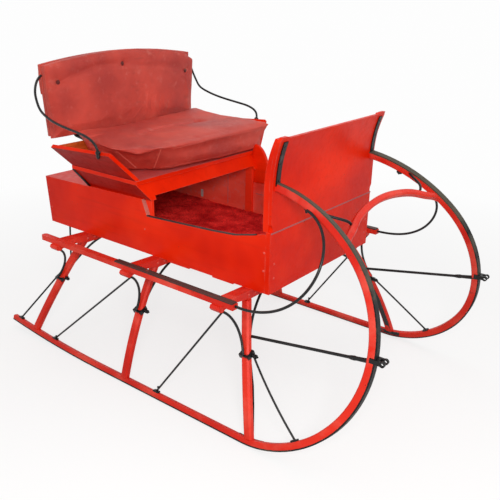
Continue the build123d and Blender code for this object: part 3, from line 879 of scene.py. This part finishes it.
def addUnevenness(piece, height, size, seed):
    # broad soft unevenness of old padding
    shift = Vector((seed * 3.1, seed * 1.7, seed * 0.9))
    points = readPoints(piece.data)
    lift = np.array([noise.fractal(Vector(point) / size + shift, 0.9, 2.0, 3) for point in points])
    pushOut(piece.data, lift * height * mm)


seatCreases = [
    # near front corner: the folded boxing
    ([(-154, -262, 842), (-205, -232, 796), (-256, -206, 752)], 12, 1.8),
    ([(-250, -392, 842), (-272, -320, 796), (-294, -256, 752)], 12, 1.6),
    # along the front of the top
    ([(-178, -300, 850), (-172, -150, 850), (-166, 60, 850), (-162, 300, 850)], 7, 1.8),
    ([(-196, -310, 850), (-192, -100, 850), (-186, 120, 850)], 8, -1.6),
    # folds of the top
    ([(-305, -47, 850), (-262, -62, 850), (-209, -59, 850)], 6, -1.6),
    ([(-330, 30, 850), (-295, 71, 850), (-219, 35, 850)], 5, 1.6),
    ([(-352, 60, 850), (-322, 92, 850), (-268, 80, 850)], 5, -1.4),
    ([(-379, -260, 850), (-405, -190, 850), (-432, -147, 850)], 6, -1.5),
    ([(-400, -80, 850), (-420, 10, 850), (-402, 100, 850)], 8, 1.4),
    ([(-470, -260, 850), (-440, -120, 850), (-455, 60, 850)], 9, -1.3),
    ([(-300, 180, 850), (-262, 230, 850), (-200, 250, 850)], 6, 1.3),
    ([(-250, -250, 850), (-232, -180, 850), (-240, -90, 850)], 6, 1.3),
    ([(-152, -80, 830), (-154, -40, 790), (-166, -30, 756)], 6, -1.6),
    ([(-152, 120, 830), (-154, 150, 790), (-166, 150, 756)], 7, -1.4),
    ([(-152, 250, 836), (-152, 262, 800), (-166, 258, 758)], 5, 1.2),
]

backCreases = [
    # folds fanning down from the middle of the far half
    ([(-596, 106, 965), (-594, 98, 925), (-598, 92, 880)], 6, 2.4),
    ([(-596, 130, 955), (-594, 118, 915), (-598, 120, 872)], 6, -2.2),
    ([(-596, 158, 952), (-594, 140, 912), (-598, 142, 870)], 6, 2.2),
    ([(-596, 182, 950), (-594, 168, 910), (-598, 166, 868)], 6, -2.0),
    ([(-596, 205, 950), (-594, 196, 910), (-598, 196, 868)], 6, 1.8),
    ([(-596, 238, 945), (-594, 222, 905), (-598, 214, 870)], 7, -1.6),
    ([(-596, 61, 905), (-596, 42, 884), (-600, 20, 866)], 7, 1.8),
    ([(-596, 20, 900), (-596, -10, 880), (-600, -30, 864)], 8, -1.4),
    ([(-596, -120, 905), (-596, -150, 882), (-600, -170, 864)], 9, 1.2),
    ([(-600, 340, 1020), (-598, 345, 970), (-600, 352, 920)], 9, 1.3),
    ([(-600, 300, 1020), (-598, 280, 985), (-600, 250, 950)], 8, 1.2),
]


def upholster(piece, pad, held, creases, shots):
    # shots: the lines that find the buttons' places
    swell(piece, pad, held, clothSettings)
    addUnevenness(piece, *pad["uneven"])
    addCreases(piece, creases)
    spots = [point / mm for point, _ in castOn(piece, shots)]
    addDimples(piece, spots, *pad["dimple"])


def nearButtons(flat, pad):
    # which points lie within reach of a button
    near = np.zeros(len(flat), bool)
    for button in pad["buttons"]:
        near |= np.linalg.norm(flat - np.array(button) * mm, axis=1) < buttonLook["reach"]
    return near


def buildSeatCushion(pad):
    piece = addPiece("seat_cushion_padded", seatForm(pad), leatherRed)
    shots = [((x, y, 900), (0, 0, -1)) for x, y in pad["buttons"]]

    def held(coords):
        # the foot, and the top round the buttons
        height = coords[:, 2]
        top = height > (pad["topHeight"] - 12) * mm
        return (height < (pad["footHeight"] + 5) * mm) | (top & nearButtons(coords[:, :2], pad))

    upholster(piece, pad, held, seatCreases, shots)
    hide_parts("seat_cushion")
    addButtons("seat_buttons", piece, shots)
    return piece


def buildBackCushion(pad):
    piece = addPiece("back_cushion_padded", backForm(pad), leatherRed)
    shots = [((-500, y, z), (-1, 0, 0)) for y, z in pad["buttons"]]

    def held(coords):
        # the rear, and the front round the buttons
        face = faceX(coords[:, 2] / mm) * mm
        front = coords[:, 0] > face + 0.015
        return (coords[:, 0] < face + 0.006) | (front & nearButtons(coords[:, 1:], pad))

    upholster(piece, pad, held, backCreases, shots)
    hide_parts("back_cushion")
    addButtons("back_buttons", piece, shots)
    return piece


def addButtons(name, cushion, shots):
    work = bmesh.new()
    for point, normal in castOn(cushion, shots):
        place = point / mm + normal * buttonLook["proud"]
        addDome(work, place, normal, buttonLook["radius"], buttonLook["height"], buttonLook["sink"], 24)
    addPiece(name, work, leatherDark)


# spacing of a welt's points in mm, and the share of its radius that sinks in
weltSettings = {"step": 9, "sink": 0.35, "sides": 8}


def addPiping(name, cushion, lines, radius, material):
    # welts laid on the cushion: each line has points just outside it, mm, and the aim towards it
    work = bmesh.new()
    for points, aim in lines:
        fine = []
        for first, second in zip(points, points[1:]):
            steps = max(2, int((Vector(second) - Vector(first)).length / weltSettings["step"]))
            fine += [Vector(first).lerp(Vector(second), step / steps) for step in range(steps)]
        fine.append(Vector(points[-1]))
        found = castOn(cushion, [(place, aim) for place in fine])
        laid = [point - normal * radius * weltSettings["sink"] * mm for point, normal in found]
        for _ in range(3):
            inner = [(laid[i - 1] + laid[i] * 2 + laid[i + 1]) / 4 for i in range(1, len(laid) - 1)]
            laid = [laid[0]] + inner + [laid[-1]]
        addTube(work, laid, radius * mm, weltSettings["sides"])
    return addPiece(name, work, material)


seatPiping = [
    (
        [(-120, -190, 830), (-120, -150, 832), (-120, 0, 835), (-120, 150, 834), (-120, 330, 832)],
        (-1, 0, 0),
    ),
    ([(-120, -190, 757), (-120, 0, 757), (-120, 250, 757), (-120, 300, 757)], (-1, 0, 0)),
    ([(-540, -420, 830), (-400, -420, 830), (-340, -420, 829), (-290, -420, 828)], (0, 1, 0)),
    ([(-540, 420, 830), (-400, 420, 832), (-260, 420, 832), (-200, 420, 830)], (0, -1, 0)),
]

cornerSeams = [
    # seams of the near front corner, in paler leather as a painted highlight
    ([(-98, -322, 840), (-150, -290, 796), (-196, -266, 752)], (-1, 1, 0)),
    ([(-190, -452, 836), (-212, -380, 796), (-234, -316, 754)], (-1, 1, 0)),
]

backPiping = [
    ([(-609, -430, 862), (-611, -430, 960), (-613, -430, 1090)], (0, 1, 0)),
    ([(-609, 430, 862), (-611, 430, 960), (-613, 430, 1070)], (0, -1, 0)),
    (
        [(-611, -370, 1200), (-611, -200, 1200), (-611, 0, 1200), (-611, 200, 1200), (-611, 350, 1200)],
        (0, 0, -1),
    ),
]

wrapSettings = {
    "half": 398,
    "corner": 1107,
    "crown": 1139,
    "columns": 64,
    "rows": 12,
    "foot": (385.5, 841.5),  # lower corner of the cover
    "skin": 0.4,  # how far the cover stands off the board
    "back": -11.0,  # rear of the board behind its face
    "spread": 0.004,  # how much narrower the hem is, and wider the cover
    "drop": 108,  # how far the wrap hangs down the rear of the board
    "thickness": 8,
}


def topLine(look):
    # the arched top of the back board in Y and Z
    line = []
    for step in range(look["columns"] + 1):
        part = 2 * step / look["columns"] - 1
        rise = look["corner"] + (look["crown"] - look["corner"]) * (1 - part ** 2)
        line.append((part * look["half"], rise))
    return line


def addBackCover(look):
    # thin cover round the whole board
    footY, footZ = look["foot"]
    outline = [(-footY, footZ)]
    outline += [(y * (1 + look["spread"]), z + 1.5) for y, z in topLine(look)]
    outline += [(footY, footZ)]
    work = bmesh.new()
    addSlab(work, outline, look["back"] - look["skin"], look["skin"])
    cover = addPiece("back_cover", work, leatherRed)
    bevelEdges(cover, 1.2, 2)


def addTopWrap(look):
    # the cover turned over the top of the board, with a wavy hem behind it
    work = bmesh.new()
    rings = []
    for step, (y, rise) in enumerate(topLine(look)):
        hemY = y * (1 - look["spread"])
        hem = look["corner"] - look["drop"] + 3 * math.sin(step * 0.9)
        outside, inside = [], []
        for row in range(look["rows"] + 1):
            part = row / look["rows"]
            height = hem + (rise - hem) * part
            across = hemY + (y - hemY) * part
            puff = look["thickness"] * (0.55 + 0.45 * math.sin(math.pi * min(1.0, part * 1.25)))
            rear = faceX(height) + look["back"]
            outside.append((rear - puff, across, height))
            inside.append((rear, across, height))
        rings.append([work.verts.new(pointAt(point)) for point in outside + inside[::-1]])
    skinForm(work, rings)
    wrap = addPiece("back_top_wrap", work, leatherRed)
    bevelEdges(wrap, 2.2, 3)


pileSettings = {
    # low and high corners and spacing of the tufts, mm
    "carpet_pile": {"low": (-420, -281, 470.3), "high": (345.5, 281, 478.5), "cell": 3.2, "seed": 11},
    "carpet_rear_pile": {"low": (-735, -298, 468.5), "high": (-421, 298, 476.5), "cell": 6.0, "seed": 12},
}


def buildPile(name, look):
    x0, y0, base = look["low"]
    x1, y1, top = look["high"]
    across, along = int((x1 - x0) / look["cell"]), int((y1 - y0) / look["cell"])
    chance = random.Random(look["seed"])
    work = bmesh.new()
    grid = []
    for i in range(across + 1):
        row = []
        for j in range(along + 1):
            x, y = x0 + (x1 - x0) * i / across, y0 + (y1 - y0) * j / along
            atEdge = min(i, j, across - i, along - j) == 0
            tuft = noise.noise(Vector((x / 9, y / 9, 0.3))) * 2.4
            tuft += noise.noise(Vector((x / 34, y / 34, 2.7))) * 2.0
            tuft += chance.uniform(-1.3, 1.3)
            height = top + tuft - (3.5 if atEdge else 0)
            if not atEdge:
                x, y = x + chance.uniform(-0.9, 0.9), y + chance.uniform(-0.9, 0.9)
            row.append(work.verts.new((x * mm, y * mm, height * mm)))
        grid.append(row)
    for row, ahead in zip(grid, grid[1:]):
        for j in range(along):
            work.faces.new((row[j], ahead[j], ahead[j + 1], row[j + 1]))
    # walls down to the floor of the box, and the underside
    rim = [row[0] for row in grid] + grid[-1][1:] + [row[-1] for row in grid[-2::-1]] + grid[0][-2:0:-1]
    foot = [work.verts.new((vert.co.x, vert.co.y, base * mm)) for vert in rim]
    for step in range(len(rim)):
        after = (step + 1) % len(rim)
        work.faces.new((rim[step], foot[step], foot[after], rim[after]))
    work.faces.new(foot[::-1])
    bmesh.ops.recalc_face_normals(work, faces=work.faces)
    return addPiece(name, work, carpetRed, smooth=False)


# strips along an edge: its line in X and Z, the strip's two sides in Y, and its thickness, mm
sillEdging = {
    "line": [
        (-184, 604.5), (-160, 604.6), (-18, 612.6), (60, 617.2),
        (136, 621.6), (230, 629.6), (290, 643.5), (318, 650.5),
    ],
    "inside": 309.5,
    "outside": 321.4,
    "thick": 2.2,
}

notchEdging = {
    "line": [(-205.5, 662), (-193, 634), (-181.5, 607)],
    "inside": 303.0,
    "outside": 320.4,
    "thick": 1.2,
}


def edgingSection(look, index):
    # Y and rise of a strip's section, with rounded top corners and a slightly uneven top
    inside, outside, thick = look["inside"], look["outside"], look["thick"]
    wave = 0.35 * math.sin(index * 0.7)
    return [
        (inside, -0.2), (inside, thick * 0.6), (inside + 1, thick),
        (outside - 1, thick + wave * 0.3), (outside, thick * 0.6), (outside, -0.2),
    ]


def addEdging(name, look, finish):
    fine = []
    for (x0, z0), (x1, z1) in zip(look["line"], look["line"][1:]):
        steps = max(2, int(math.hypot(x1 - x0, z1 - z0) / 8))
        fine += [(x0 + (x1 - x0) * step / steps, z0 + (z1 - z0) * step / steps) for step in range(steps)]
    fine.append(look["line"][-1])
    work = bmesh.new()
    for sign in (1, -1):
        rings = []
        for index, (x, z) in enumerate(fine):
            before, after = fine[max(index - 1, 0)], fine[min(index + 1, len(fine) - 1)]
            run = Vector((after[0] - before[0], after[1] - before[1])).normalized()
            rings.append([
                work.verts.new(pointAt((x - run.y * rise, sign * y, z + run.x * rise)))
                for y, rise in edgingSection(look, index)
            ])
        skinForm(work, rings)
    addPiece(name, work, finish, smooth=False)


# blocks: low and high corners and bevel, mm
dashJoint = {"blocks": [((377.6, -319, 665.4), (380.9, 319, 669.8))], "bevel": 0.8}
innerPosts = {
    "blocks": [((-208, 290, 470.5), (-172, 302.4, 690)), ((324, 284, 478.5), (346.5, 302.4, 640))],
    "bevel": 1.5,
}
underBattens = {
    "blocks": [((-83, -319, 450.8), (24, 319, 456.8)), ((133, -319, 450.8), (226, 319, 456.8))],
    "bevel": 1.0,
}
innerBrackets = {"blocks": [((-476, 299.4, 482), (-463, 302.4, 516))], "bevel": 0.6}
boardJoints = {
    "blocks": [((-316.2, 301.2, 482), (-314.0, 302.4, 640)), ((-158, 301.2, 556), (318, 302.4, 558.2))],
    "bevel": 0.3,
}


def addBlocks(name, look, finish):
    # a block that crosses the middle plane is made once, any other on both sides
    work = bmesh.new()
    for low, high in look["blocks"]:
        for sign in (1, -1) if low[1] > 0 else (1,):
            first, second = turnedOver(low, sign), turnedOver(high, sign)
            addBlock(work, tuple(map(min, first, second)), tuple(map(max, first, second)), look["bevel"])
    addPiece(name, work, finish, smooth=False)


cornerStrip = {
    "low": (-501, 309, 651),
    "high": (-533.5, 362, 728),
    "out": (-0.72, 0.69, 0.0),
    "clear": 1.4,
    "radius": 4.2,
}


def addCornerStrips(look):
    # black strips down the rear corners of the seat box
    work = bmesh.new()
    for sign in (1, -1):
        low, high, out = (Vector(turnedOver(look[key], sign)) for key in ("low", "high", "out"))
        out = out * look["clear"]
        line = [(point + out) * mm for point in (low, low.lerp(high, 0.5), high)]
        addTube(work, line, look["radius"] * mm, 10)
    addPiece("seat_corner_strips", work, blackIron)


leftWing = {
    "outline": [
        (-206, 664), (-188, 622), (-178, 604), (-104, 608), (-100, 660), (-104, 694), (-113, 718),
        (-124, 738), (-136, 753), (-150, 764), (-166, 769), (-181.5, 770), (-181.5, 726), (-196, 700),
    ],
    "faces": (304.0, 318.5),
}


def addWingBoard(look):
    # stands on the left sill beside the seat, with a curved front end
    work = bmesh.new()
    skinForm(work, [[work.verts.new(pointAt((x, y, z))) for x, z in look["outline"]] for y in look["faces"]])
    wing = addPiece("left_wing_board", work, bodyPaint)
    bevelEdges(wing, 1.5, 2)


# round heads: place, axis, radius and height, mm
bodyRivets = [
    ((355, 320.6, 599), (0, 1, 0), 4.2, 1.8),
    ((354, 320.6, 536), (0, 1, 0), 4.2, 1.8),
    ((-194, 320.6, 551), (0, 1, 0), 3.2, 1.4),
    ((378, 296, 560), (1, 0, 0), 4.2, 1.8),
    ((378, 296, 510), (1, 0, 0), 4.2, 1.8),
    ((-748, 320.6, 520), (0, 1, 0), 3.6, 1.5),
    ((-755, 320.6, 590), (0, 1, 0), 3.6, 1.5),
    ((-757.5, 296, 500), (-1, 0, 0), 3.8, 1.6),
    ((-766.8, 296, 590), (-1, 0, 0), 3.8, 1.6),
]

beamFronts = (-511, -116, 308)
benchBolts = [((x, 334, 442), (1, 0, 0), 5.0, 2.6) for x in beamFronts]
benchBolts += [((x, 300, 440), (1, 0, 0), 4.2, 2.2) for x in beamFronts]


def addDomes(name, rows):
    work = bmesh.new()
    for (place, axis, radius, height), sign in mirrored(rows):
        addDome(work, turnedOver(place, sign), turnedOver(axis, sign), radius, height)
    addPiece(name, work, rivetPaint)


# the nut and the head stand ahead of x
clampBolts = {"x": (-601, -141, 362), "y": 405, "z": 273, "nut": 37, "head": 15}


def addClampBolts(look):
    work = bmesh.new()
    for x, sign in mirrored(look["x"]):
        y = sign * look["y"]
        addNut(work, (x + look["nut"], y, look["z"]), (1, 0, 0), 11, 3, 3, 4)
        addDome(work, (x + look["head"], y, look["z"]), (-1, 0, 0), 6.5, 3)
    addPiece("clamp_bolts", work, blackIron)


runnerTop = 495.4 - 0.2431 * 30  # Y of a runner's middle, less its lean over 30 mm of height


def runnerOn(sign):
    return "runner_left" if sign > 0 else "runner_right"


# lines that find a node's surface: node, place and aim
stayShots = [
    ("rear_stays", (-795, runnerTop, 200), (0, 0, -1)),
    ("middle_stays", (-561, runnerTop, 200), (0, 0, -1)),
    ("front_stays", (25, runnerTop, 200), (0, 0, -1)),
]
strapShots = [("dash_straps", (500, 297, height), (-1, 0, 0)) for height in (838, 892, 946)]
runnerShots = [(None, (x, runnerTop, 120), (0, 0, -1)) for x in (-760, -640, -480, -300, -100, 120, 330)]
ironShots = [(None, (500, 500, 771), (0, -1, 0))]


def foundOn(shots):
    # each surface in mm and its normal, on both sides; a line without a node looks for that side's runner
    for (node, place, aim), sign in mirrored(shots):
        target = nodes[node or runnerOn(sign)]
        for point, normal in castOn(target, [(turnedOver(place, sign), turnedOver(aim, sign))]):
            yield point / mm, normal


def addCastHeads(name, shots, radius, height, finish):
    work = bmesh.new()
    for place, normal in foundOn(shots):
        addDome(work, place, normal, radius, height)
    addPiece(name, work, finish)


def addStayNuts(shots):
    work = bmesh.new()
    for place, normal in foundOn(shots):
        addNut(work, place, normal, 9, 3, 2.2, 2)
    addPiece("stay_foot_nuts", work, blackIron)


armFoot = {
    "nut": (-277, 448, 833),
    "collar": (-277, 448, 843),
    "profile": [(9.5, -0.5), (9.5, 4), (8, 6), (5, 7)],
}


def addArmNuts(look):
    # a nut under each arm rail's foot and a turned collar on top
    work = bmesh.new()
    for sign in (1, -1):
        addNut(work, turnedOver(look["nut"], sign), (0, 0, -1), 15, 6, 4.5, 4)
        addTurned(work, pointAt(turnedOver(look["collar"], sign)), (0, 0, 1), look["profile"], 20)
    addPiece("arm_foot_nuts", work, blackIron)


kneeStrap = {
    # along the middle of the front knee
    "path": [
        (446, 497, 14), (434, 482, 62), (418, 462, 120), (400, 443, 180), (377, 425, 232), (362, 412, 262),
    ],
    "inside": 15.2,  # from the knee's middle to the strap's inner face
    "thick": 4,
    "rear": 11,
    "front": 9,
}

footPlate = {
    "start": 396,
    "step": 8,
    "count": 13,
    "under": (494, -60),  # Y and Z of the lines that find the runner's underside
    "beside": (300, 14),  # Y of the lines that find its inner face, and their height above the underside
    # Y from the inner face and Z from the underside
    "section": [(0.6, 1), (0.6, 15), (-3.0, 14), (-3.0, 1)],
}


def addKneeStrap(work, look, sign):
    # follows the arc of the front knee on its inner face
    rings = []
    for x, y, z in look["path"]:
        inner = sign * (y - look["inside"])
        outer = inner + sign * look["thick"]
        rear, front = x - look["rear"], x + look["front"]
        corners = ((rear, inner, z), (front, inner, z), (front, outer, z), (rear, outer, z))
        rings.append([work.verts.new(pointAt(corner)) for corner in corners])
    skinForm(work, rings)


def addFootPlate(work, look, sign):
    # lies on the runner's inner face at the foot of the strap
    runner = nodes[runnerOn(sign)]
    underY, underZ = look["under"]
    besideY, rise = look["beside"]
    rings = []
    for step in range(look["count"]):
        x = look["start"] + look["step"] * step
        for under, _ in castOn(runner, [((x, sign * underY, underZ), (0, 0, 1))]):
            z = under.z / mm
            for beside, _ in castOn(runner, [((x, sign * besideY, z + rise), (0, sign, 0))]):
                y = abs(beside.y) / mm
                section = [(x, sign * (y + out), z + up) for out, up in look["section"]]
                rings.append([work.verts.new(pointAt(corner)) for corner in section])
    skinForm(work, rings)


def addKneeStraps():
    work = bmesh.new()
    for sign in (1, -1):
        addKneeStrap(work, kneeStrap, sign)
        addFootPlate(work, footPlate, sign)
    addPiece("front_knee_straps", work, blackIron, smooth=False)


drawBarSleeve = {
    # the draw bar's line, and radii with their places before its front end
    "from": (340, 378, 320),
    "to": (827.5, 394.76, 409),
    "profile": [
        (5.2, -104), (6.6, -96), (7.6, -84), (6.4, -78), (7.4, -30), (8.6, -26), (8.6, -14), (6.5, -10),
    ],
}


def addSleeves(look):
    work = bmesh.new()
    for sign in (1, -1):
        start, end = Vector(turnedOver(look["from"], sign)), Vector(turnedOver(look["to"], sign))
        addTurned(work, end * mm, end - start, look["profile"], 20)
    addPiece("draw_bar_sleeves", work, blackIron)


ironLug = [(11, -2), (11, 3), (9.5, 4.2)]  # radius and height


def addFrontIronNuts(shots):
    # lug and nut at each front iron's upper end, outside the runner
    work = bmesh.new()
    for place, normal in foundOn(shots):
        addTurned(work, place * mm, normal, ironLug, 24)
        addNut(work, place + normal * 4, normal, 11, 5, 3.2, 3)
    addPiece("front_iron_nuts", work, blackIron)


seatCushion = buildSeatCushion(seatPad)
backCushion = buildBackCushion(backPad)
addPiping("seat_piping", seatCushion, seatPiping, 2.6, leatherRed)
addPiping("seat_corner_seams", seatCushion, cornerSeams, 2.2, leatherPaintedHighlight)
addPiping("back_piping", backCushion, backPiping, 2.6, leatherRed)
addBackCover(wrapSettings)
addTopWrap(wrapSettings)
print("cushions made")

pile = {name: buildPile(name, look) for name, look in pileSettings.items()}
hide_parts("carpet")
print("carpet made")

addEdging("sill_edging", sillEdging, edgingPaint)
addEdging("notch_edging", notchEdging, wornPaint)
addBlocks("dash_joint_strip", dashJoint, greyTrim)
addBlocks("inner_posts", innerPosts, postPaintedLight)
addBlocks("under_battens", underBattens, bodyPaint)
addBlocks("inner_brackets", innerBrackets, paleIron)
addCornerStrips(cornerStrip)
addWingBoard(leftWing)
addBlocks("inner_board_joints", boardJoints, greyTrim)
print("body trim made")

addDomes("body_rivets", bodyRivets)
addDomes("bench_bolts", benchBolts)
addClampBolts(clampBolts)
addStayNuts(stayShots)
addArmNuts(armFoot)
addCastHeads("strap_rivets", strapShots, 4.0, 1.6, blackIron)
addKneeStraps()
addSleeves(drawBarSleeve)
addFrontIronNuts(ironShots)
addCastHeads("runner_bolts", runnerShots, 3.6, 1.2, rivetPaint)
print("hardware made")
